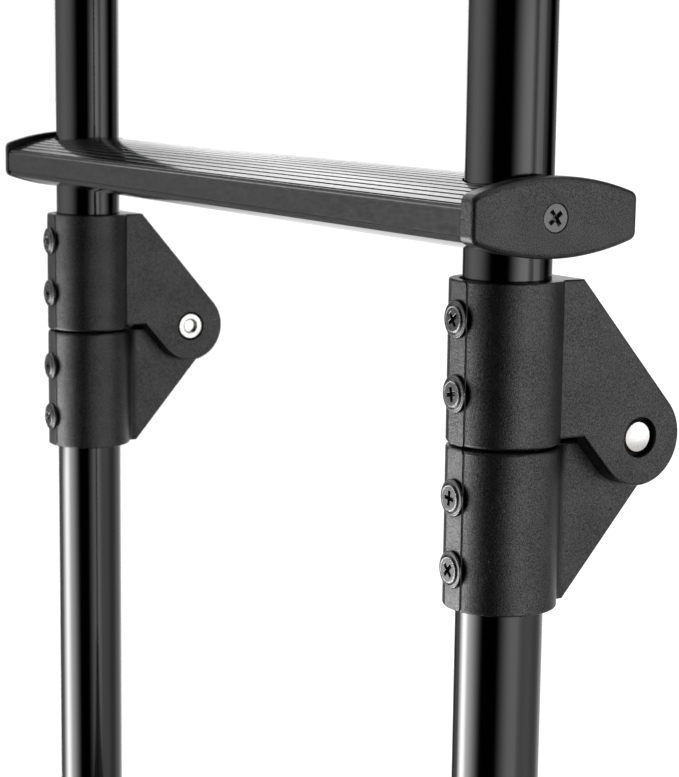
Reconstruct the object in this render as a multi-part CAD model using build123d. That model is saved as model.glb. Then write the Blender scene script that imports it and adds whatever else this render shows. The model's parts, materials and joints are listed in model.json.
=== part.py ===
from build123d import *
import os
from math import asin, cos, degrees, radians, sin, sqrt

# Folding two-rail ladder. Two equal sections meet at a moulded fork-and-tongue hinge on each rail,
# and flat ribbed steps sit across the rails with a screwed plastic cap on each end.
#
# Everything is drawn in millimetres about the hinge split: X runs along the steps, -Y faces the
# climber, +Z is up, the rail axes lie in the plane Y = 0 and the two halves of each hinge meet
# at Z = 0. to_row_frame() then moves each piece so that the origin is the middle of the
# footprint on the floor.

# ---- driving dimensions -------------------------------------------------------------------
RAIL_SPACING = 298.0            # between the two rail axes
RAIL_R = 12.9                   # one-inch tube and its coating
RAIL_WALL = 1.85
SECTION_LENGTH = 457.0          # hinge split to floor; the upper section ends TOP_SHORTFALL lower
TOP_SHORTFALL = 2.0
STEP_PITCH = 292.0
HINGE_STEP_Z = 68.0             # middle of the step just above the hinge
HINGE_STEP_LEAN = 0.5           # that step's left end stands higher than its right, in degrees

# ---- hinge --------------------------------------------------------------------------------
SOCKET_R = 16.7
SOCKET_HEIGHT = 47.85           # each half, from the split plane
SOCKET_BORE_R = RAIL_R + 0.05
SOCKET_EDGE = 1.0               # rounding of the socket's rim beside the split
SOCKET_END_EDGE = 0.5           # rounding of its other rim
BORE_LEAD_IN = 0.9              # width of the chamfer round the rail, half as wide as it is deep
SPLIT_GAP = 0.4                 # each half stands this far from the split plane
SHOULDER = 2.0                  # stop that the rail's end sits on
SHOULDER_BORE_R = 10.5
PAD_WIDTH = 8.1                 # raised screw pad down the front of each half
PAD_Y = -16.7
PAD_CORNER = 1.5
PAD_EDGE = 0.5
PIVOT_Y = 41.4
LUG_R = 14.6
WEB_ANGLE = radians(49.2)       # steepness of the lug's sloping edges
FORK_HALF = 11.5                # outer faces of the fork's ears
FORK_FOOT_Z = 1.8               # lower edge of the ears beside the socket
TONGUE_HALF = 5.0
TONGUE_TOP_Z = -0.6
TONGUE_ROOT_R = 6.0             # hollow fillet between tongue and socket
SLOT_HALF = TONGUE_HALF + 0.25
SLOT_CLEARANCE = 0.7            # around the lug and along the folded tongue
LUG_EDGE = 0.8                  # rounding of the ears' and the tongue's outlines

# ---- hinge pin ----------------------------------------------------------------------------
PIN_R = 4.0
PIN_BORE_R = PIN_R + 0.05
PIN_HEAD_R = 4.9
PIN_HEAD_THICK = 1.8
PIN_HEAD_RECESS = 1.1           # head's top below the ear's face
HEAD_POCKET_R = 6.1
RIVET_R = 5.5
RIVET_THICK = 1.5
RIVET_HOLE_R = 2.65
RIVET_HOLE_DEPTH = 1.6
RIVET_POCKET_R = 6.0
RIVET_POCKET_DEPTH = 1.7

# ---- screws -------------------------------------------------------------------------------
FORK_SCREWS = ((15.4, 12.0), (36.8, 35.0))       # height from the split plane, and turn of the cross
TONGUE_SCREWS = ((14.8, 5.0), (35.9, 45.0))
HINGE_SCREW_R = 2.4
HINGE_SCREW_LENGTH = 12.0
COLLAR_R = 4.6                  # short collar that holds the washer off the pad
COLLAR_TOP = 0.5
WASHER_R = 5.5
WASHER_RIM = 0.2                # softening of the washer's lower edge
WASHER_THICK = 0.85
WASHER_EDGE_R = 5.2             # the washer's flat face runs from here in to the cone
WASHER_EDGE_TOP = 1.15
CONE_R = 4.55                   # foot of the cone that rises to the flat crown
CONE_FOOT = 1.2
CROWN_R = 3.55
CROWN_TOP = 1.8
CROWN_GROOVE = 0.15             # depth and width of the fine groove round the flat crown
CAP_SCREW_R = 2.1
CAP_SCREW_LENGTH = 16.0
CAP_SCREW_HEAD_R = 4.15
CAP_SCREW_RIM = 0.35            # upright edge above the countersink
CAP_SCREW_SUNK = 0.1            # the head sits this far below the cap's face
COUNTERSINK_DEPTH = 2.3
SCREW_TIP = 2.5
SCREW_HOLE_CLEARANCE = 0.1
HINGE_RECESS = 4.7              # width of the cross in each head
CAP_RECESS = 5.2
CAP_SCREW_TURN = 38.0
RECESS_DEPTH = 1.5
RECESS_WING = 0.26              # widths as shares of the cross's width: a wing at the mouth,
RECESS_FLOOR = 0.55             # the cross at its floor
RECESS_FLOOR_WING = 0.15        # and a wing at its floor

# ---- steps and caps -----------------------------------------------------------------------
STEP_HALF_DEPTH = 28.0          # to the lips along the top and bottom of the front face
STEP_FACE_PROUD = 0.4           # the middle band of the front face stands forward of the lips
STEP_FACE_HALF = 3.55
STEP_FACE_MID = -1.0            # middle of that band, from the middle of the step's caps
STEP_SHIFT_Y = 0.6              # the steps and caps stand this far behind the rail axes
STEP_EDGE_HALF = 5.1            # half height at the front and rear
STEP_EDGE_MID = -1.35           # middle of the front and rear edges
STEP_TOP = 10.0                 # crest of the bowed tread
STEP_BOTTOM = 11.2              # depth of the bowed underside
STEP_WALL = 1.6
WEB_Y = 15.0                    # inner webs either side of the rails
RIB_PITCH = 2.58
GROOVE_COUNT = 23
GROOVE_WIDTH = 0.6
GROOVE_DEPTH = 0.55
RAIL_HOLE_R = RAIL_R + 0.6
CAP_HALF_DEPTH = 28.8
CAP_EDGE_HALF = 6.4
CAP_MID_HALF = 11.5
CAP_INNER_X = 17.4              # from the rail axis to the step's end
CAP_OUTER_X = 22.6
CAP_DRAFT = 0.9                 # the outer face is this much shorter at each end
CAP_CORNER = 2.6                # rounding of the outline's four corners
CAP_EDGE = 1.8                  # rounding round the outer face
SPIGOT_LENGTH = 4.0
SPIGOT_CLEARANCE = 0.2
PARTING_WIDTH = 0.45
PARTING_DEPTH = 0.35

# ---- feet and top plugs -------------------------------------------------------------------
FOOT_R = 16.5
FOOT_HEIGHT = 34.0
FOOT_SOLE = 5.0
FOOT_TAPER = 1.2                # the foot's top rim is this much narrower
FOOT_GROOVES = 3
FOOT_GROOVE_R = 0.8
FOOT_GROOVE_Z = 5.0             # lowest groove
FOOT_GROOVE_PITCH = 3.2
PLUG_HEAD = 4.0
PLUG_RIM = 1.2                  # upright rim below the head's dome
PLUG_SPIGOT = 16.0
PLUG_WALL = 2.0
PLUG_TIP = 0.8                  # chamfer on the spigot's end
PLUG_CLEARANCE = 0.12           # between the plug and the tube

RAIL_X = RAIL_SPACING / 2
STEP_END_X = RAIL_X + CAP_INNER_X
RAIL_BORE_R = RAIL_R - RAIL_WALL
RAIL_START_Z = SPLIT_GAP + SHOULDER
STEP_Z = {
    "step_1": HINGE_STEP_Z - STEP_PITCH,
    "step_2": HINGE_STEP_Z,
    "step_3": HINGE_STEP_Z + STEP_PITCH,
}
STEP_LEAN = {"step_1": 0.0, "step_2": HINGE_STEP_LEAN, "step_3": 0.0}
FOOTPRINT_MID_Y = (PIVOT_Y + LUG_R - CAP_HALF_DEPTH + STEP_SHIFT_Y) / 2


def to_row_frame(shape):
    """Origin to the middle of the footprint, with the feet on the floor."""
    return Pos(0, -FOOTPRINT_MID_Y, SECTION_LENGTH) * shape


def turned(outline):
    """Solid of revolution about Z; the outline is drawn as (radius, height)."""
    return revolve(make_face(Plane.XZ * outline), Axis.Z)


def dome(rim_r, rim_z, top_z):
    """Arc from a rim up to the axis, with its centre on the axis so that it turns to a cap."""
    rise = top_z - rim_z
    ball_r = (rim_r**2 + rise**2) / (2 * rise)
    half_angle = asin(rim_r / ball_r) / 2
    middle = (ball_r * sin(half_angle), top_z - ball_r * (1 - cos(half_angle)))
    return ThreePointArc((rim_r, rim_z), middle, (0, top_z))


def slab(sketch, half_width):
    """Plate drawn in the plane of Y and Z, half_width thick each way along X."""
    return extrude(Plane.YZ * sketch, amount=half_width, both=True)


def rod(radius, length):
    """Cylinder that starts at the origin and runs along +Z."""
    return Cylinder(radius, length, align=(Align.CENTER, Align.CENTER, Align.MIN))


def lens(half_depth, edge_half, crest, keel, edge_mid=0.0):
    """Cross-section with upright ends, bowed up to the crest and down to the keel's depth."""
    high = edge_mid + edge_half
    low = edge_mid - edge_half
    right_end = Line((half_depth, low), (half_depth, high))
    top = ThreePointArc((half_depth, high), (0, crest), (-half_depth, high))
    left_end = Line((-half_depth, high), (-half_depth, low))
    bottom = ThreePointArc((-half_depth, low), (0, -keel), (half_depth, low))
    return make_face(right_end + top + left_end + bottom)


def step_lens(inset):
    """The step's plain outline, pulled in by the given inset."""
    return lens(STEP_HALF_DEPTH - inset, STEP_EDGE_HALF - inset,
                STEP_TOP - inset, STEP_BOTTOM - inset, STEP_EDGE_MID)


# ---- fasteners ----------------------------------------------------------------------------
def cross_recess(width, depth):
    """Tapered cross for a driver, opening upwards at Z = 0."""
    def cross(size, wing):
        return (Rectangle(size, wing) + Rectangle(wing, size)).face()
    mouth = cross(width, RECESS_WING * width)
    floor = Pos(0, 0, -depth) * cross(RECESS_FLOOR * width, RECESS_FLOOR_WING * width)
    return loft([mouth, floor], ruled=True)


def washer_head_screw():
    """Self-tapping screw along Z, its collar's underside at Z = 0 and its head upwards."""
    tip = -HINGE_SCREW_LENGTH
    outline = Polyline(
        (0, CROWN_TOP), (0, tip), (HINGE_SCREW_R, tip + SCREW_TIP), (HINGE_SCREW_R, 0),
        (COLLAR_R, 0), (COLLAR_R, COLLAR_TOP), (WASHER_R - WASHER_RIM, COLLAR_TOP),
        (WASHER_R, COLLAR_TOP + WASHER_RIM), (WASHER_R, WASHER_THICK),
        (WASHER_EDGE_R, WASHER_EDGE_TOP), (CONE_R, CONE_FOOT),
        (CROWN_R + CROWN_GROOVE, CROWN_TOP), (CROWN_R, CROWN_TOP - CROWN_GROOVE),
        (CROWN_R - CROWN_GROOVE, CROWN_TOP), (0, CROWN_TOP),
    )
    return turned(outline) - Pos(0, 0, CROWN_TOP) * cross_recess(HINGE_RECESS, RECESS_DEPTH)


def countersunk_screw():
    """Self-tapping screw along Z, with the top of its head at Z = 0."""
    tip = -CAP_SCREW_LENGTH
    outline = Polyline(
        (0, 0), (0, tip), (CAP_SCREW_R, tip + SCREW_TIP), (CAP_SCREW_R, -COUNTERSINK_DEPTH),
        (CAP_SCREW_HEAD_R, -CAP_SCREW_RIM), (CAP_SCREW_HEAD_R - 0.2, 0), (0, 0),
    )
    return turned(outline) - Rot(0, 0, CAP_SCREW_TURN) * cross_recess(CAP_RECESS, RECESS_DEPTH)


def hinge_pin():
    """Solid rivet along X: flat head outboard at +X, flared tube end inboard at -X."""
    head_top = FORK_HALF - PIN_HEAD_RECESS
    head_under = head_top - PIN_HEAD_THICK
    crown = head_top + 0.25
    flare_under = -(FORK_HALF - RIVET_POCKET_DEPTH)
    flare_top = flare_under - RIVET_THICK
    soft = 0.5
    outline = Polyline(
        (0, flare_top + RIVET_HOLE_DEPTH), (RIVET_HOLE_R, flare_top + RIVET_HOLE_DEPTH),
        (RIVET_HOLE_R, flare_top + soft), (RIVET_HOLE_R + soft, flare_top),
        (RIVET_R - soft, flare_top), (RIVET_R, flare_top + soft), (RIVET_R, flare_under),
        (PIN_R, flare_under), (PIN_R, head_under), (PIN_HEAD_R, head_under),
        (PIN_HEAD_R, head_top - soft), (PIN_HEAD_R - soft, head_top),
    ) + dome(PIN_HEAD_R - soft, head_top, crown) + Line((0, crown), (0, flare_top + RIVET_HOLE_DEPTH))
    return Pos(0, PIVOT_Y, 0) * Rot(0, 90, 0) * turned(outline)


# ---- hinge halves -------------------------------------------------------------------------
def socket():
    """Upper half's sleeve round the rail, standing on the split plane, with its screw pad."""
    low, high = SPLIT_GAP, SOCKET_HEIGHT
    low_rim, high_rim = SOCKET_R - SOCKET_EDGE, SOCKET_R - SOCKET_END_EDGE
    bore = Polyline(
        (high_rim, high), (SOCKET_BORE_R + BORE_LEAD_IN, high),
        (SOCKET_BORE_R, high - 2 * BORE_LEAD_IN), (SOCKET_BORE_R, RAIL_START_Z),
        (SHOULDER_BORE_R, RAIL_START_Z), (SHOULDER_BORE_R, low), (low_rim, low),
    )
    low_round = RadiusArc((low_rim, low), (SOCKET_R, low + SOCKET_EDGE), -SOCKET_EDGE)
    wall = Line((SOCKET_R, low + SOCKET_EDGE), (SOCKET_R, high - SOCKET_END_EDGE))
    high_round = RadiusArc((SOCKET_R, high - SOCKET_END_EDGE), (high_rim, high), -SOCKET_END_EDGE)
    return turned(bore + low_round + wall + high_round) + screw_pad()


def screw_pad():
    height = SOCKET_HEIGHT - SPLIT_GAP
    buried_y = -(SOCKET_BORE_R + BORE_LEAD_IN + 0.5)
    face = Plane((0, PAD_Y, SPLIT_GAP + height / 2), x_dir=(1, 0, 0), z_dir=(0, -1, 0))
    pad = extrude(face * RectangleRounded(PAD_WIDTH, height, PAD_CORNER), amount=PAD_Y - buried_y)
    return fillet(pad.faces().sort_by(Axis.Y)[0].edges(), PAD_EDGE)


def slope_points(end_z):
    """Ends of the lug's outer sloping edge: on the socket's end face, and tangent to the lug."""
    tangent_y = PIVOT_Y + LUG_R * sin(WEB_ANGLE)
    tangent_z = LUG_R * cos(WEB_ANGLE)
    run = (end_z - tangent_z) / sin(WEB_ANGLE)
    return (tangent_y - run * cos(WEB_ANGLE), end_z), (tangent_y, tangent_z)


def fork_outline():
    """Side view of the ears: a sloping band from the socket down round the lug."""
    shoulder, upper = slope_points(SOCKET_HEIGHT)
    lower = (2 * PIVOT_Y - upper[0], -upper[1])
    rise = (FORK_FOOT_Z - lower[1]) / sin(WEB_ANGLE)
    foot = (lower[0] - rise * cos(WEB_ANGLE), FORK_FOOT_Z)
    nose = (PIVOT_Y + LUG_R * cos(WEB_ANGLE), -LUG_R * sin(WEB_ANGLE))
    return make_face(
        Polyline((0, FORK_FOOT_Z), (0, SOCKET_HEIGHT), shoulder, upper)
        + ThreePointArc(upper, nose, lower)
        + Polyline(lower, foot, (0, FORK_FOOT_Z))
    )


def tongue_outline():
    """Side view of the tongue: flat top, lug, then a slope to the socket's lower end."""
    shoulder, tangent = slope_points(SOCKET_HEIGHT)
    shoulder, tangent = (shoulder[0], -shoulder[1]), (tangent[0], -tangent[1])
    lug_end = (PIVOT_Y - sqrt(LUG_R**2 - TONGUE_TOP_Z**2), TONGUE_TOP_Z)
    return make_face(
        Polyline((0, TONGUE_TOP_Z), (0, -SOCKET_HEIGHT), shoulder, tangent)
        + ThreePointArc(tangent, (PIVOT_Y, LUG_R), lug_end)
        + Line(lug_end, (0, TONGUE_TOP_Z))
    )


def tongue_slot():
    """Room between the ears for the tongue at every angle from open to folded flat."""
    reach = 60.0
    _, tangent = slope_points(SOCKET_HEIGHT)
    start_y = 2 * PIVOT_Y - tangent[0] - SLOT_CLEARANCE * sin(WEB_ANGLE)
    start_z = tangent[1] + SLOT_CLEARANCE * cos(WEB_ANGLE)
    end_y = start_y + reach * cos(WEB_ANGLE)
    end_z = start_z + reach * sin(WEB_ANGLE)
    right_y = PIVOT_Y + reach
    folded = Polygon(
        (start_y, start_z), (end_y, end_z), (right_y, end_z), (right_y, -reach), (start_y, -reach),
        align=None,
    )
    below = Pos(SOCKET_R + reach / 2, FORK_FOOT_Z - reach / 2) * Rectangle(reach, reach)
    lug_room = Pos(PIVOT_Y, 0) * Circle(LUG_R + SLOT_CLEARANCE)
    return slab(folded + below + lug_room, SLOT_HALF)


def edge_softened(plate):
    """Round the outline of a plate on both of its side faces."""
    return fillet(plate.faces().filter_by(Axis.X).edges(), LUG_EDGE)


def tongue_root():
    """Hollow fillets that spread the tongue into the socket."""
    depth = SOCKET_R + 2 * TONGUE_ROOT_R
    plan = Circle(SOCKET_R) + Pos(0, depth / 2) * Rectangle(2 * TONGUE_HALF, depth)
    inner_corners = plan.vertices().filter_by(lambda v: abs(v.Y - depth) > 0.1 and v.Y > 0)
    plan = fillet(inner_corners, TONGUE_ROOT_R)
    column = Pos(0, 0, -SOCKET_HEIGHT) * extrude(plan, amount=SOCKET_HEIGHT)
    reach = slab(offset(tongue_outline(), -LUG_EDGE), SOCKET_R)
    return column & reach


def rail_room():
    """Bore and shoulder hole of an upper half, which the lugs must not fill."""
    bore = Pos(0, 0, RAIL_START_Z) * rod(SOCKET_BORE_R, SOCKET_HEIGHT)
    return bore + Cylinder(SHOULDER_BORE_R, 2 * SOCKET_HEIGHT)


def screw_holes(screws):
    """Holes for the hinge screws of an upper half, from the front through one wall."""
    radius = HINGE_SCREW_R + SCREW_HOLE_CLEARANCE
    hole = Rot(90, 0, 0) * rod(radius, 2 * SOCKET_R)
    return Part() + [Pos(0, 0, z) * hole for z, _ in screws]


def mirror_to_lower(shape):
    return mirror(shape, about=Plane.XY)


def pin_bore(radius, start_x, end_x):
    return Pos(start_x, PIVOT_Y, 0) * Rot(0, 90, 0) * rod(radius, end_x - start_x)


def fork_half():
    """Upper hinge half, on the upper rail."""
    ears = edge_softened(slab(fork_outline(), FORK_HALF))
    body = socket() + ears - tongue_slot() - rail_room()
    head_floor = FORK_HALF - PIN_HEAD_RECESS - PIN_HEAD_THICK
    pockets = (
        pin_bore(PIN_BORE_R, -FORK_HALF, FORK_HALF)
        + pin_bore(HEAD_POCKET_R, head_floor, FORK_HALF + 1)
        + pin_bore(RIVET_POCKET_R, -FORK_HALF - 1, RIVET_POCKET_DEPTH - FORK_HALF)
    )
    return body - pockets - screw_holes(FORK_SCREWS)


def tongue_half():
    """Lower hinge half, on the lower rail."""
    plate = edge_softened(slab(tongue_outline(), TONGUE_HALF))
    body = mirror_to_lower(socket()) + plate + tongue_root()
    body -= mirror_to_lower(rail_room() + screw_holes(TONGUE_SCREWS))
    return body - pin_bore(PIN_BORE_R, -SLOT_HALF, SLOT_HALF)


def hinge_screws(screws):
    """The two screws of an upper half, seated on its pad."""
    seat = Pos(0, PAD_Y, 0) * Rot(90, 0, 0)
    return Compound([Pos(0, 0, z) * seat * Rot(0, 0, turn) * washer_head_screw() for z, turn in screws])


# ---- rails and their ends -----------------------------------------------------------------
def rail(low, high, cap_screw_heights):
    """Tube between two heights, with holes for the hinge screws and cap screws."""
    height = high - low
    tube = Pos(0, 0, (low + high) / 2) * (Cylinder(RAIL_R, height) - Cylinder(RAIL_BORE_R, height))
    tube -= screw_holes(FORK_SCREWS) if low > 0 else mirror_to_lower(screw_holes(TONGUE_SCREWS))
    for z in cap_screw_heights:
        tube -= Pos(RAIL_R, 0, z) * Rot(0, 90, 0) * Cylinder(CAP_SCREW_R + SCREW_HOLE_CLEARANCE, RAIL_R)
    return tube


def foot():
    """Rubber foot: a tapered cup over the rail's lower end, with grip grooves round it."""
    top_r = FOOT_R - FOOT_TAPER
    soft = 1.2
    cup = turned(Polyline(
        (0, 0), (FOOT_R - soft, 0), (FOOT_R, soft), (FOOT_R, 0.45 * FOOT_HEIGHT),
        (top_r, FOOT_HEIGHT - soft), (top_r - soft, FOOT_HEIGHT), (SOCKET_BORE_R, FOOT_HEIGHT),
        (SOCKET_BORE_R, FOOT_SOLE), (0, FOOT_SOLE), (0, 0),
    ))
    for i in range(FOOT_GROOVES):
        cup -= Pos(0, 0, FOOT_GROOVE_Z + i * FOOT_GROOVE_PITCH) * Torus(FOOT_R + 0.2, FOOT_GROOVE_R)
    return Pos(0, 0, -SECTION_LENGTH) * cup


def top_plug():
    """Plastic plug that closes the rail's upper end, with a domed head."""
    spigot_r = RAIL_BORE_R - PLUG_CLEARANCE
    hollow_r = spigot_r - PLUG_WALL
    head_under = SECTION_LENGTH - TOP_SHORTFALL - PLUG_HEAD
    outline = Polyline(
        (0, PLUG_HEAD), (0, PLUG_RIM), (hollow_r, PLUG_RIM), (hollow_r, -PLUG_SPIGOT),
        (spigot_r - PLUG_TIP, -PLUG_SPIGOT), (spigot_r, 2 * PLUG_TIP - PLUG_SPIGOT), (spigot_r, 0),
        (RAIL_R, 0), (RAIL_R, PLUG_RIM),
    ) + dome(RAIL_R, PLUG_RIM, PLUG_HEAD)
    return Pos(0, 0, head_under) * turned(outline)


# ---- steps --------------------------------------------------------------------------------
def arc_radius(half_depth, sagitta):
    return (half_depth**2 + sagitta**2) / (2 * sagitta)


def tread_grooves():
    """Narrow grooves that leave flat ribs along the step's bowed top."""
    radius = arc_radius(STEP_HALF_DEPTH, STEP_TOP - STEP_EDGE_MID - STEP_EDGE_HALF)
    centre = Pos(0, STEP_TOP - radius)
    groove = Rectangle(GROOVE_WIDTH, 2 * GROOVE_DEPTH)
    turn = degrees(RIB_PITCH / radius)
    grooves = Sketch()
    for i in range(GROOVE_COUNT):
        angle = (i - (GROOVE_COUNT - 1) / 2) * turn
        grooves += centre * Rot(0, 0, angle) * Pos(0, radius) * groove
    return grooves


def step_cells(clearance):
    """The step's three hollow cells, each pulled in by the given clearance."""
    hollow = step_lens(STEP_WALL + clearance)
    for side in (-1, 1):
        hollow -= Pos(side * WEB_Y, 0) * Rectangle(STEP_WALL + 2 * clearance, 4 * STEP_TOP)
    return hollow


def step():
    """Hollow extruded step between its two caps, pierced by the rails."""
    face_y = STEP_HALF_DEPTH + STEP_FACE_PROUD
    lip_z = STEP_FACE_HALF + STEP_FACE_PROUD
    face_band = Polygon(
        (face_y, STEP_FACE_HALF), (STEP_HALF_DEPTH, lip_z), (-STEP_HALF_DEPTH, lip_z),
        (-face_y, STEP_FACE_HALF), (-face_y, -STEP_FACE_HALF), (-STEP_HALF_DEPTH, -lip_z),
        (STEP_HALF_DEPTH, -lip_z), (face_y, -STEP_FACE_HALF), align=None,
    )
    outer = step_lens(0) + Pos(0, STEP_FACE_MID) * face_band
    tread = slab(outer - tread_grooves() - step_cells(0), STEP_END_X)
    for x in (-RAIL_X, RAIL_X):
        tread -= Pos(x, -STEP_SHIFT_Y, 0) * Cylinder(RAIL_HOLE_R, 4 * STEP_BOTTOM)
    return tread


def step_cap():
    """Right-hand end cap, about the rail axis: a bowed plate with three short spigots."""
    inner = lens(CAP_HALF_DEPTH, CAP_EDGE_HALF, CAP_MID_HALF, CAP_MID_HALF)
    outer = lens(CAP_HALF_DEPTH - CAP_DRAFT, CAP_EDGE_HALF, CAP_MID_HALF, CAP_MID_HALF)
    faces = [Pos(x, 0, 0) * (Plane.YZ * fillet(outline.vertices(), CAP_CORNER).face())
             for x, outline in ((CAP_INNER_X, inner), (CAP_OUTER_X, outer))]
    plate = loft(faces, ruled=True)
    plate = fillet(plate.faces().sort_by(Axis.X)[-1].edges(), CAP_EDGE)
    spigots = extrude(Plane.YZ * step_cells(SPIGOT_CLEARANCE), amount=SPIGOT_LENGTH)
    cap = plate + Pos(CAP_INNER_X - SPIGOT_LENGTH, 0, 0) * spigots
    parting_line = Box(2 * CAP_OUTER_X, 2 * PARTING_DEPTH, PARTING_WIDTH)
    for side in (-1, 1):
        cap -= Pos(CAP_OUTER_X, side * CAP_HALF_DEPTH, 0) * parting_line
    return cap - screw_seat()


def screw_seat():
    """Through hole and countersink for a cap screw along X."""
    hole_r = CAP_SCREW_R + SCREW_HOLE_CLEARANCE
    head_r = CAP_SCREW_HEAD_R + SCREW_HOLE_CLEARANCE
    depth = CAP_OUTER_X - CAP_INNER_X + SPIGOT_LENGTH + 1
    seat = turned(Polyline(
        (0, 1), (0, -depth), (hole_r, -depth), (hole_r, -COUNTERSINK_DEPTH),
        (head_r, -CAP_SCREW_RIM), (head_r, 1), (0, 1),
    ))
    return Pos(CAP_OUTER_X - CAP_SCREW_SUNK, -STEP_SHIFT_Y, 0) * Rot(0, 90, 0) * seat


def cap_screw():
    return Pos(CAP_OUTER_X - CAP_SCREW_SUNK, -STEP_SHIFT_Y, 0) * Rot(0, 90, 0) * countersunk_screw()


# ---- assembly -----------------------------------------------------------------------------
def both_sides(name, right_shape, left_shape=None):
    """A right-hand piece on the right rail, and a mirrored piece on the left one."""
    right = Pos(RAIL_X, 0, 0) * right_shape
    left = right if left_shape is None else Pos(RAIL_X, 0, 0) * left_shape
    return {f"right_{name}": right, f"left_{name}": mirror(left, about=Plane.YZ)}


def rail_pair(name, low, high, steps):
    """Both rails of a section, each drilled where the cap screws of its steps enter."""
    sides = []
    for side in (1, -1):
        drops = [side * (RAIL_X + RAIL_R) * sin(radians(STEP_LEAN[step_name])) for step_name in steps]
        heights = [STEP_Z[step_name] - drop for step_name, drop in zip(steps, drops)]
        sides.append(rail(low, high, heights))
    return both_sides(name, *sides)


def step_nodes(name):
    """A step with its two caps and their screws, leaned about its middle as one piece."""
    pieces = {name: step()}
    pieces |= both_sides(f"cap_{name}", step_cap())
    pieces |= both_sides(f"cap_screw_{name}", cap_screw())
    place = Pos(0, STEP_SHIFT_Y, STEP_Z[name]) * Rot(0, STEP_LEAN[name], 0)
    return {node: place * shape for node, shape in pieces.items()}


def ladder_nodes():
    upper_end = SECTION_LENGTH - TOP_SHORTFALL - PLUG_HEAD
    nodes = {}
    nodes |= rail_pair("upper_rail", RAIL_START_Z, upper_end, ("step_2", "step_3"))
    nodes |= rail_pair("lower_rail", FOOT_SOLE - SECTION_LENGTH, -RAIL_START_Z, ("step_1",))
    nodes |= both_sides("hinge_fork", fork_half())
    nodes |= both_sides("hinge_tongue", tongue_half())
    nodes |= both_sides("hinge_pin", hinge_pin())
    nodes |= both_sides("fork_screws", hinge_screws(FORK_SCREWS))
    nodes |= both_sides("tongue_screws", mirror_to_lower(hinge_screws(TONGUE_SCREWS)))
    nodes |= both_sides("foot", foot())
    nodes |= both_sides("top_plug", top_plug())
    for name in STEP_Z:
        nodes |= step_nodes(name)
    return nodes


os.makedirs("parts", exist_ok=True)
for node, shape in ladder_nodes().items():
    export_step(to_row_frame(shape), f"parts/{node}.step")
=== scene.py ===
import json
from math import atan2, cos, pi, radians, sin

import bpy
from mathutils import Matrix, Vector


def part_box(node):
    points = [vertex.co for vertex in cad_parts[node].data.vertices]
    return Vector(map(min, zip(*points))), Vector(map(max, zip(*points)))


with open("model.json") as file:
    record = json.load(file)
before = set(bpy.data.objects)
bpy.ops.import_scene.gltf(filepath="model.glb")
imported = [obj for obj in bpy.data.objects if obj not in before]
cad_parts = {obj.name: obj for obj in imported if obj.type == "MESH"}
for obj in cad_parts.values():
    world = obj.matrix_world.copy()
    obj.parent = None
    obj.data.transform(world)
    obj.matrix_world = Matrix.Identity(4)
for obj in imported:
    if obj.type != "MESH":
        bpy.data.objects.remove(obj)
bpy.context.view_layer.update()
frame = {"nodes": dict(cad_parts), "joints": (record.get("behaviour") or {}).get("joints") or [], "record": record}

# ---- places taken from the frame ----------------------------------------------------------
RAIL_LOW, RAIL_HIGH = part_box("right_lower_rail")
SPLIT_Z = frame["joints"][0]["pos_m"][2]
RIGHT_HINGE = Vector(((RAIL_LOW.x + RAIL_HIGH.x) / 2, (RAIL_LOW.y + RAIL_HIGH.y) / 2, SPLIT_Z))

# ---- camera, in metres and degrees --------------------------------------------------------
CAMERA_OFFSET = Vector((0.4710, -0.3349, 0.1037))     # from the right hinge
CAMERA_HEADING = 149.31           # direction of view in plan, from +X towards +Y
CAMERA_PITCH = 8.73               # downwards
CAMERA_ROLL = 0.71
LENS_MM = 93.4
SENSOR_MM = 36
NEAR_CLIP = 0.05
APERTURE = 56                     # f-number; the far hinge is slightly soft

# ---- studio -------------------------------------------------------------------------------
# Soft light banks on a round wall about the right hinge. Headings are seen from that hinge and
# measured from the camera, positive to the camera's right. Every bank rises to full over the
# width before its first heading and fades over the width after its second; the same holds for
# elevations. All angles are in degrees.
#    rise  from    to  fade | rise lowest highest fade | radiance
BANKS = (
    (12, -192, -170, 10, 20, -90, 60, 20, 0.62),      # white backdrop, left of its middle
    (12, -192, -170, 10, 8, 6, 60, 20, 0.52),         # its upper half
    (6, -165, -154, 8, 8, 5, 26, 10, 0.8),            # white card above the step's far end
    (20, -130, -100, 50, 20, -90, 60, 24, 0.40),      # spill on the backdrop
    (46, -88, -78, 40, 15, -40, 14, 14, 1.35),        # left bank
    (20, -104, -98, 56, 10, -45, -12, 4, 7.4),        # white table low on the left
    (12, -99, -96, 14, 10, -45, -12, 4, 8.0),         # its brightest part
    (20, -160, -110, 30, 12, 28, 60, 15, 2.6),        # high left bank
    (45, 45, 47, 22, 10, -6, 8, 10, 3.4),             # right bank
    (44, 38, 44, 34, 10, -30, -11, 10, 2.5),          # right bank's lower half
    (13, 73, 73, 40, 10, -6, 50, 24, 2.6),            # second right bank
    (12, 72, 76, 40, 10, -40, -11, 10, 0.9),          # second right bank's lower half
    (40, 100, 150, 30, 5, -90, -11, 10, 0.5),         # spill low on the right
    (20, 144, 198, 12, 20, -90, 60, 20, 0.4),         # spill on the right
)
OVERHEAD = (45, 30, 0.9)          # elevation it starts at, softness, radiance
WALL_RADIUS = 0.95
WALL_LOW, WALL_HIGH = -1.2, 2.4
WALL_SIDES = 96
FLOOR_HALF = 40
FLOOR_GREY = 0.15                 # as a source of light
FLOOR_SEEN_GREY = 0.35            # as the camera sees it
FLOOR_GLOW = 0.80                 # for the camera only, so that the floor runs into the white
CAMERA_SIDE = atan2(CAMERA_OFFSET.y, CAMERA_OFFSET.x)
WHITE = (1, 1, 1, 1)


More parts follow.
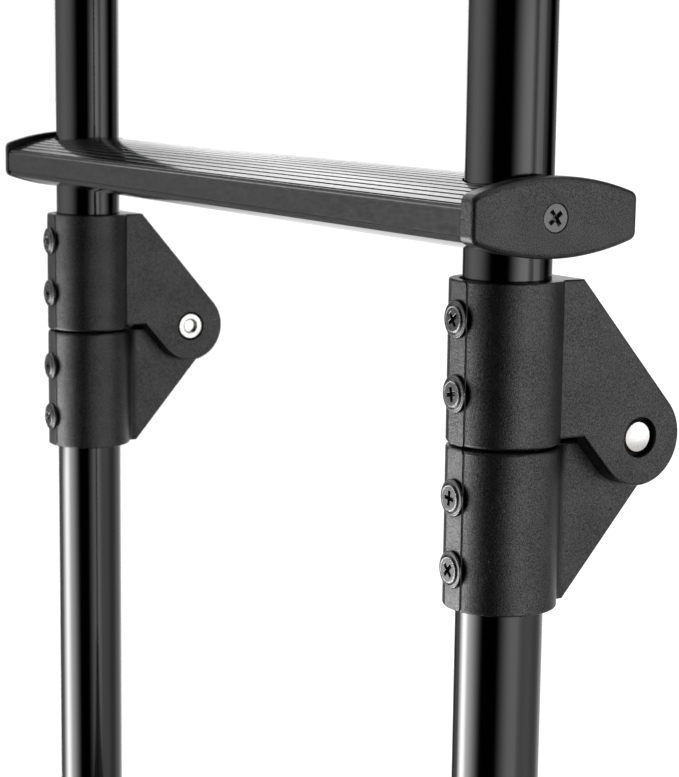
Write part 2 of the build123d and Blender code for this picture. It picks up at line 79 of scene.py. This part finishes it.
class Graph:
    """A shader node tree, with short calls that add nodes and link them."""

    def __init__(self, tree):
        self.tree = tree
        tree.nodes.clear()

    def add(self, kind, inputs=None, **settings):
        node = self.tree.nodes.new(kind)
        for name, value in settings.items():
            setattr(node, name, value)
        for name, value in (inputs or {}).items():
            self.feed(node.inputs[name], value)
        return node

    def feed(self, socket, value):
        if isinstance(value, bpy.types.NodeSocket):
            self.tree.links.new(value, socket)
        else:
            socket.default_value = value

    def math(self, operation, *values):
        node = self.add("ShaderNodeMath", operation=operation)
        for socket, value in zip(node.inputs, values):
            self.feed(socket, value)
        return node.outputs[0]

    def ramp(self, value, low, high, to_low=0.0, to_high=1.0):
        """value taken smoothly from low..high to to_low..to_high, held at both ends."""
        inputs = {"Value": value, "From Min": low, "From Max": high, "To Min": to_low, "To Max": to_high}
        return self.add("ShaderNodeMapRange", inputs, interpolation_type="SMOOTHSTEP").outputs[0]

    def spread(self, noise, to_low, to_high):
        """The usual range of a noise taken to to_low..to_high."""
        return self.ramp(noise, 0.3, 0.7, to_low, to_high)

    def mix(self, share, a, b):
        """Colour a at share 0 and colour b at share 1."""
        node = self.add("ShaderNodeMix", data_type="RGBA")
        self.feed(node.inputs["Factor"], share)
        for name, value in (("A", a), ("B", b)):
            socket = [s for s in node.inputs if s.name == name and s.type == "RGBA"][0]
            self.feed(socket, (*value, 1) if isinstance(value, tuple) else value)
        return [s for s in node.outputs if s.type == "RGBA"][0]

    def noise(self, scale, detail=2.0, stretch=(1, 1, 1)):
        """Noise fixed to the object, squeezed by stretch along each axis."""
        place = self.add("ShaderNodeTexCoord").outputs["Object"]
        mapped = self.add("ShaderNodeMapping", {"Vector": place, "Scale": stretch}).outputs[0]
        inputs = {"Vector": mapped, "Scale": scale, "Detail": detail}
        return self.add("ShaderNodeTexNoise", inputs).outputs[0]


# ---- materials ----------------------------------------------------------------------------
# Lengths are in metres, noise scales in cycles per metre, colours linear.
EDGE_SAMPLES = 4                  # rays that soften an edge
GAP_SAMPLES = 6                   # rays that tell a gap from open space
EDGE_ROUND = 0.0003               # usual softening of an edge
METAL_ROUND = 0.0002
EDGE_TURN = (0.995, 0.9)          # cosines between which a softened normal counts as an edge
SPECK_SCALE = 2600
# painted shade: near black laid into narrow gaps and recesses
PAINTED_SHADE_BLACK = (0.002, 0.002, 0.002)
PALE_EDGE_STEEL = (0.28, 0.28, 0.28)   # paler steel along the edges
PALE_SPECK = (0.2, 0.2, 0.2)
RUBBED_EDGE = (0.06, 0.06, 0.06)


def new_material(name):
    material = bpy.data.materials.new(name)
    material.use_nodes = True
    return material, Graph(material.node_tree)


def surface(graph, colour, roughness, height, depth, metallic=0.0, edge_radius=EDGE_ROUND, **extra):
    """Principled surface with softened edges and a bump made from height."""
    soft = graph.add("ShaderNodeBevel", {"Radius": edge_radius}, samples=EDGE_SAMPLES).outputs[0]
    bump = graph.add("ShaderNodeBump", {"Height": height, "Distance": depth, "Normal": soft}).outputs[0]
    inputs = {"Base Color": colour, "Roughness": roughness, "Metallic": metallic, "Normal": bump}
    inputs.update({name.replace("_", " "): value for name, value in extra.items()})
    shader = graph.add("ShaderNodeBsdfPrincipled", inputs)
    out = graph.add("ShaderNodeOutputMaterial")
    graph.tree.links.new(shader.outputs[0], out.inputs["Surface"])


def edge_share(graph, radius):
    """About 1 along convex and concave edges, and 0 on open faces."""
    soft = graph.add("ShaderNodeBevel", {"Radius": radius}, samples=EDGE_SAMPLES).outputs[0]
    true = graph.add("ShaderNodeNewGeometry").outputs["Normal"]
    dot = graph.add("ShaderNodeVectorMath", operation="DOT_PRODUCT")
    graph.feed(dot.inputs[0], soft)
    graph.feed(dot.inputs[1], true)
    return graph.ramp(dot.outputs["Value"], *EDGE_TURN)


def openness(graph, distance, closed=0.25, clear=0.75):
    """0 in narrow gaps and 1 in the open; closed and clear are the shares of open sky for each. It masks the
    painted shade in gaps.
    """
    node = graph.add("ShaderNodeAmbientOcclusion", {"Distance": distance}, samples=GAP_SAMPLES)
    return graph.ramp(node.outputs["AO"], closed, clear)


def rail_coating():
    """Glossy black coating with faint drawing lines and a slight orange peel."""
    material, g = new_material("coated_rail")
    peel = g.noise(700, 2)
    lines = g.noise(1, 3, (900, 900, 6))
    height = g.math("MULTIPLY_ADD", lines, 0.4, peel)
    roughness = g.ramp(g.noise(35, 4, (1, 1, 0.25)), 0.35, 0.7, 0.08, 0.11)
    dust = g.ramp(g.noise(SPECK_SCALE, 1), 0.74, 0.80)
    colour = g.mix(dust, (0.0004, 0.0004, 0.0005), (0.01, 0.01, 0.01))
    surface(g, colour, roughness, height, 0.000006)
    return material


def anodised():
    """Satin black anodising with fine extrusion lines, clearer when seen along the surface, and painted shade in
    its grooves.
    """
    material, g = new_material("anodised_step")
    lines = g.noise(1, 3, (10, 1500, 1500))
    cloud = g.noise(60, 3, (0.2, 1, 1))
    colour = g.mix(cloud, (0.006, 0.006, 0.0065), (0.011, 0.011, 0.0115))
    facing = g.add("ShaderNodeLayerWeight", {"Blend": 0.5}).outputs["Facing"]
    glancing = g.ramp(facing, 0.55, 0.9, 1.0, 0.35)
    rough = g.math("MULTIPLY", g.spread(lines, 0.20, 0.26), glancing)
    blotches = g.spread(g.noise(900, 3, (0.35, 1, 1)), 0.24, 0.38)
    # painted shade: the sheen is cut in the grooves between the ribs
    sheen = g.math("MULTIPLY", openness(g, 0.0012, 0.55, 0.97), blotches)
    surface(g, colour, rough, lines, 0.000003, edge_radius=0.0005, Specular_IOR_Level=sheen)
    return material


def moulded(name, dark, light, roughness, grain, depth, speck, gap=0.0022):
    """Matte moulded plastic: fine grain, cloudy sheen, pale specks and rubbed edges, with painted shade in narrow
    gaps.
    """
    material, g = new_material(name)
    fine = g.noise(grain, 2)
    cloud = g.noise(90, 4)
    tone = g.mix(g.ramp(cloud, 0.35, 0.7), dark, light)
    crowded = g.ramp(g.noise(110, 3), 0.48, 0.66)
    specks = g.math("MULTIPLY", g.ramp(g.noise(SPECK_SCALE, 1), 0.70, 0.78), crowded)
    tone = g.mix(g.math("MULTIPLY", specks, speck), tone, PALE_SPECK)
    tone = g.mix(g.math("MULTIPLY", edge_share(g, 0.0005), 0.12), tone, RUBBED_EDGE)
    rough = g.math("ADD", g.spread(fine, -0.04, 0.05), roughness)
    sheen = g.math("ADD", g.spread(fine, 0.18, 0.60), g.ramp(cloud, 0.35, 0.7, -0.02, 0.04))
    # painted shade: the sheen is cut where the ambient occlusion finds a narrow gap
    sheen = g.math("MULTIPLY", sheen, openness(g, gap))
    surface(g, tone, rough, fine, depth, Specular_IOR_Level=sheen)
    return material


def screw_steel(name, dark, light):
    """Oxide-coated steel, paler along its edges, with painted shade in its recess."""
    material, g = new_material(name)
    patch = g.noise(500, 3)
    tone = g.mix(patch, (dark, dark, dark), (light, light, light))
    # paler steel along convex and concave edges
    tone = g.mix(g.math("MULTIPLY", edge_share(g, 0.00035), 0.7), tone, PALE_EDGE_STEEL)
    # painted shade: the colour goes to near black where the ambient occlusion finds a narrow gap
    tone = g.mix(openness(g, 0.0010, 0.1, 0.45), PAINTED_SHADE_BLACK, tone)
    rough = g.spread(patch, 0.24, 0.38)
    surface(g, tone, rough, g.noise(2500, 2), 0.00001, metallic=1.0, edge_radius=0.0004)
    return material


def pin_steel():
    """Bright stainless, lightly scratched."""
    material, g = new_material("pin_steel")
    scratches = g.noise(1, 4, (300, 2500, 900))
    tone = g.mix(g.noise(300, 2), (0.50, 0.49, 0.475), (0.40, 0.39, 0.38))
    rough = g.spread(scratches, 0.10, 0.24)
    surface(g, tone, rough, scratches, 0.000008, metallic=1.0, edge_radius=METAL_ROUND)
    return material


def foot_rubber():
    """Dull black rubber with a dusty, cloudy bloom."""
    material, g = new_material("foot_rubber")
    grain = g.noise(1400, 4)
    tone = g.mix(g.ramp(g.noise(90, 4), 0.4, 0.7), (0.014, 0.014, 0.014), (0.032, 0.031, 0.030))
    surface(g, tone, g.spread(grain, 0.68, 0.85), grain, 0.00004)
    return material


def finishes():
    """The material of each slot in the record."""
    return {
        "coated_rail": rail_coating(),
        "anodised_step": anodised(),
        "moulded_hinge": moulded(
            "moulded_hinge", dark=(0.003, 0.0028, 0.0029), light=(0.005, 0.0048, 0.0049),
            roughness=0.32, grain=2600, depth=0.00010, speck=0.6),
        "moulded_cap": moulded(
            "moulded_cap", dark=(0.006, 0.0057, 0.0066), light=(0.009, 0.0086, 0.0097),
            roughness=0.36, grain=2600, depth=0.00005, speck=0.1, gap=0.006),
        "plug_plastic": moulded(
            "plug_plastic", dark=(0.005, 0.005, 0.005), light=(0.009, 0.009, 0.009),
            roughness=0.40, grain=2000, depth=0.00003, speck=0.2),
        "black_screw": screw_steel("black_screw", 0.022, 0.042),
        "pin_steel": pin_steel(),
        "foot_rubber": foot_rubber(),
    }


def paint_nodes():
    """Every CAD node takes the material of its slot; the cap screws are a paler steel."""
    by_slot = finishes()
    cap_screw = screw_steel("grey_screw", 0.07, 0.11)
    slots = {part["node"]: part["material_slot"] for part in frame["record"]["subparts"]}
    for node, obj in frame["nodes"].items():
        obj.data.materials.clear()
        obj.data.materials.append(cap_screw if "cap_screw" in node else by_slot[slots[node]])


# ---- studio -------------------------------------------------------------------------------
def window(graph, angle, rise, first, last, fade):
    """1 from first to last, in degrees, with a soft rise before and a soft fade after."""
    up = graph.ramp(angle, radians(first - rise), radians(first))
    down = graph.ramp(angle, radians(last), radians(last + fade), 1.0, 0.0)
    return graph.math("MULTIPLY", up, down)


def bank_light(graph, heading, elevation, bank):
    """Radiance of one light bank in a direction."""
    centre = (bank[1] + bank[2]) / 2
    turned = graph.math("SUBTRACT", heading, CAMERA_SIDE + radians(centre))
    offset = graph.math("WRAP", turned, -pi, pi)
    across = window(graph, offset, bank[0], bank[1] - centre, bank[2] - centre, bank[3])
    along = window(graph, elevation, *bank[4:8])
    return graph.math("MULTIPLY", graph.math("MULTIPLY", across, bank[8]), along)


def studio_light(graph, direction):
    """Radiance of the whole studio towards a direction from the right hinge."""
    x, y, z = graph.add("ShaderNodeSeparateXYZ", {"Vector": direction}).outputs
    heading = graph.math("ARCTAN2", y, x)
    elevation = graph.math("ARCSINE", z)
    start, soft, radiance = OVERHEAD
    total = graph.ramp(elevation, radians(start), radians(start + soft), 0.0, radiance)
    for bank in BANKS:
        total = graph.math("ADD", total, bank_light(graph, heading, elevation, bank))
    return total


def mixed(graph, share, first, second):
    """Blend of two shaders: the first at 0, the second at 1."""
    node = graph.add("ShaderNodeMixShader")
    for socket, value in zip(node.inputs, (share, first, second)):
        graph.feed(socket, value)
    return node.outputs[0]


def make_world():
    """White to the camera, and the light banks to everything else."""
    world = bpy.data.worlds.new("studio")
    bpy.context.scene.world = world
    world.use_nodes = True
    g = Graph(world.node_tree)
    total = studio_light(g, g.add("ShaderNodeTexCoord").outputs["Generated"])
    studio = g.add("ShaderNodeBackground", {"Strength": total, "Color": WHITE}).outputs[0]
    white = g.add("ShaderNodeBackground", {"Strength": 1.0, "Color": WHITE}).outputs[0]
    to_camera = g.add("ShaderNodeLightPath").outputs["Is Camera Ray"]
    out = g.add("ShaderNodeOutputWorld")
    g.tree.links.new(mixed(g, to_camera, studio, white), out.inputs["Surface"])


def make_wall():
    """The same light banks at arm's length, glowing inwards and clear from outside."""
    corners = []
    for i in range(WALL_SIDES):
        angle = 2 * pi * i / WALL_SIDES
        x = RIGHT_HINGE.x + WALL_RADIUS * cos(angle)
        y = RIGHT_HINGE.y + WALL_RADIUS * sin(angle)
        corners += [(x, y, WALL_LOW), (x, y, WALL_HIGH)]
    count = len(corners)
    faces = [(2 * i, 2 * i + 1, (2 * i + 3) % count, (2 * i + 2) % count) for i in range(WALL_SIDES)]
    mesh = bpy.data.meshes.new("light_wall")
    mesh.from_pydata(corners, [], faces)
    wall = bpy.data.objects.new("light_wall", mesh)
    bpy.context.scene.collection.objects.link(wall)
    wall.visible_camera = False
    material, g = new_material("light_wall")
    geometry = g.add("ShaderNodeNewGeometry").outputs
    offset = g.add("ShaderNodeVectorMath", operation="SUBTRACT")
    g.feed(offset.inputs[0], geometry["Position"])
    g.feed(offset.inputs[1], tuple(RIGHT_HINGE))
    direction = g.add("ShaderNodeVectorMath", operation="NORMALIZE")
    g.feed(direction.inputs[0], offset.outputs[0])
    total = studio_light(g, direction.outputs[0])
    glow = g.add("ShaderNodeEmission", {"Color": WHITE, "Strength": total}).outputs[0]
    clear = g.add("ShaderNodeBsdfTransparent").outputs[0]
    out = g.add("ShaderNodeOutputMaterial")
    g.tree.links.new(mixed(g, geometry["Backfacing"], glow, clear), out.inputs["Surface"])
    mesh.materials.append(material)


def make_floor():
    """Plain white floor that runs out of sight; reflections see the light banks instead."""
    size = FLOOR_HALF
    mesh = bpy.data.meshes.new("floor")
    corners = [(-size, -size, 0), (size, -size, 0), (size, size, 0), (-size, size, 0)]
    mesh.from_pydata(corners, [], [(0, 1, 2, 3)])
    floor = bpy.data.objects.new("floor", mesh)
    bpy.context.scene.collection.objects.link(floor)
    floor.visible_glossy = False
    material, g = new_material("floor")
    to_camera = g.add("ShaderNodeLightPath").outputs["Is Camera Ray"]
    grey = g.mix(to_camera, (FLOOR_GREY,) * 3, (FLOOR_SEEN_GREY,) * 3)
    glow = g.math("MULTIPLY", to_camera, FLOOR_GLOW)
    both = g.add("ShaderNodeAddShader")
    g.feed(both.inputs[0], g.add("ShaderNodeBsdfDiffuse", {"Color": grey}).outputs[0])
    g.feed(both.inputs[1], g.add("ShaderNodeEmission", {"Color": WHITE, "Strength": glow}).outputs[0])
    out = g.add("ShaderNodeOutputMaterial")
    g.tree.links.new(both.outputs[0], out.inputs["Surface"])
    mesh.materials.append(material)


def make_camera():
    """Close view of both hinges from the front right, a little above them."""
    heading, pitch, roll = radians(CAMERA_HEADING), radians(CAMERA_PITCH), radians(CAMERA_ROLL)
    forward = Vector((cos(heading) * cos(pitch), sin(heading) * cos(pitch), -sin(pitch)))
    level = forward.cross(Vector((0, 0, 1))).normalized()
    upright = level.cross(forward)
    right = level * cos(roll) + upright * sin(roll)
    up = upright * cos(roll) - level * sin(roll)
    focus = bpy.data.objects.new("focus", None)
    focus.location = RIGHT_HINGE
    bpy.context.scene.collection.objects.link(focus)
    data = bpy.data.cameras.new("camera")
    data.lens = LENS_MM
    data.sensor_width = SENSOR_MM
    data.clip_start = NEAR_CLIP
    data.dof.use_dof = True
    data.dof.aperture_fstop = APERTURE
    data.dof.focus_object = focus
    camera = bpy.data.objects.new("camera", data)
    axes = Matrix((right, up, -forward)).transposed()
    camera.matrix_world = Matrix.Translation(RIGHT_HINGE + CAMERA_OFFSET) @ axes.to_4x4()
    bpy.context.scene.collection.objects.link(camera)
    bpy.context.scene.camera = camera


paint_nodes()
make_world()
make_wall()
make_floor()
make_camera()
bpy.context.scene.view_settings.view_transform = "Standard"
